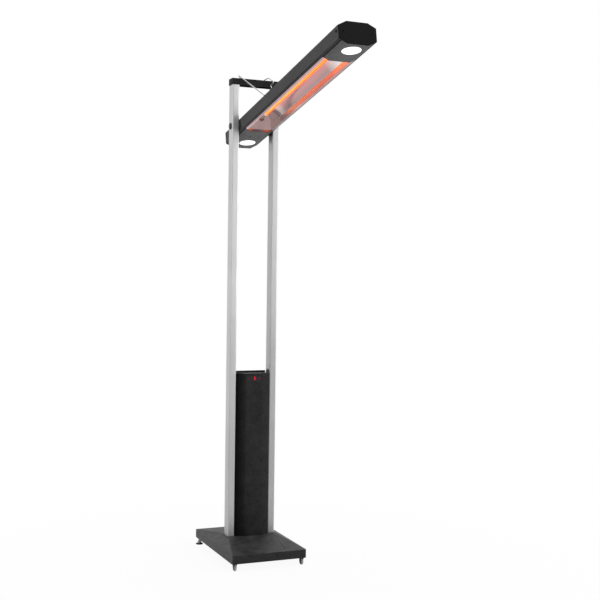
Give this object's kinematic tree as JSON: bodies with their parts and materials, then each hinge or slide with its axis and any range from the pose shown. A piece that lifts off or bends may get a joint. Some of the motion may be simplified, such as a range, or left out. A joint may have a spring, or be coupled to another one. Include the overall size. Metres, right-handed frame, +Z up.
{
  "type": "infrared_patio_heater",
  "caption": "Free-standing infrared patio heater: a weighted base, twin posts with a control column, and a long heating head with end lamps that folds down on a pivot and hangs on a wire stay",
  "frame": {"origin": "on the floor under the middle of the overall box", "axes": "+X to the right seen from the front, -Y towards the front where the head reaches out, +Z up"},
  "size_m": [0.34, 1.3122, 2.1356],
  "materials": {
    "black_sheet": "satin powder coat",
    "anodised_aluminium": "satin anodised",
    "grey_housing": "dark grey anodised",
    "plated_steel": "zinc plated",
    "ballast_steel": "rolled",
    "mirror_aluminium": "polished",
    "black_plastic": "matte",
    "grey_rubber": "matte",
    "ceramic": "matte, stands for steatite ceramic",
    "quartz": "clear quartz, glowing",
    "filament_alloy": "glowing",
    "opal_lens": "opal, lit",
    "smoked_pane": "smoked, glossy",
    "circuit_board": "solder mask"
  },
  "bodies": {
    "frame": {"ballast_plate": "ballast_steel", "base_cover_left": "black_sheet", "base_cover_right": "black_sheet", "post_socket_left": "plated_steel", "post_socket_right": "plated_steel", "caster_fork_left": "black_plastic", "caster_fork_right": "black_plastic", "caster_axle_left": "plated_steel", "caster_axle_right": "plated_steel", "foot_nut_left": "plated_steel", "foot_nut_right": "plated_steel", "post_left": "anodised_aluminium", "post_right": "anodised_aluminium", "crossbar": "black_sheet", "column_housing": "black_sheet", "column_back_plate": "black_sheet", "column_lid": "black_sheet", "display_pane": "smoked_pane", "control_board": "circuit_board", "power_unit": "plated_steel", "mains_terminal": "ceramic", "switch_bezel": "black_plastic", "cable_gland": "black_plastic", "pivot_bush_left": "black_plastic", "pivot_bush_right": "black_plastic"},
    "wheel_left": {"caster_wheel_left": "grey_rubber"},
    "wheel_right": {"caster_wheel_right": "grey_rubber"},
    "foot_left": {"foot_pad_left": "black_plastic", "foot_stem_left": "plated_steel"},
    "foot_right": {"foot_pad_right": "black_plastic", "foot_stem_right": "plated_steel"},
    "rocker": {"switch_rocker": "black_plastic"},
    "head": {"head_housing": "grey_housing", "end_cap_front": "black_sheet", "end_cap_rear": "black_sheet", "cover_plate_rear": "grey_housing", "cover_plate_front": "grey_housing", "lamp_lens_front": "opal_lens", "lamp_lens_rear": "opal_lens", "lamp_module_front": "plated_steel", "lamp_module_rear": "plated_steel", "reflector": "mirror_aluminium", "reflector_end_rear": "mirror_aluminium", "reflector_end_front": "mirror_aluminium", "quartz_tube": "quartz", "filament": "filament_alloy", "tube_holder_rear": "ceramic", "tube_holder_front": "ceramic", "head_terminal": "ceramic", "pivot_bolt_left": "plated_steel", "pivot_bolt_right": "plated_steel", "pivot_cap_left": "black_plastic", "pivot_cap_right": "black_plastic", "pivot_hub_left": "plated_steel", "pivot_hub_right": "plated_steel"},
    "stay": {"wire_stay": "plated_steel"}
  },
  "joints": [
    {"name": "head_tilt", "type": "hinge", "parent": "frame", "child": "head", "pos_m": [0, 0.39609, 1.892], "axis": [1, 0, 0], "range_deg": [0, 100.8]},
    {"name": "stay_swing", "type": "hinge", "parent": "head", "child": "stay", "pos_m": [0, 0.09005, 1.98448], "axis": [1, 0, 0], "range_deg": [0, 145]},
    {"name": "wheel_left_spin", "type": "hinge", "parent": "frame", "child": "wheel_left", "pos_m": [-0.1515, 0.15459, 0.015], "axis": [1, 0, 0], "continuous": true},
    {"name": "wheel_right_spin", "type": "hinge", "parent": "frame", "child": "wheel_right", "pos_m": [0.1515, 0.15459, 0.015], "axis": [1, 0, 0], "continuous": true},
    {"name": "foot_left_turn", "type": "hinge", "parent": "frame", "child": "foot_left", "pos_m": [-0.1535, 0.63958, 0], "axis": [0, 0, 1], "continuous": true},
    {"name": "foot_right_turn", "type": "hinge", "parent": "frame", "child": "foot_right", "pos_m": [0.1535, 0.63958, 0], "axis": [0, 0, 1], "continuous": true},
    {"name": "rocker_switch", "type": "hinge", "parent": "frame", "child": "rocker", "pos_m": [0, 0.42039, 0.3], "axis": [1, 0, 0], "range_deg": [0, 16]}
  ]
}
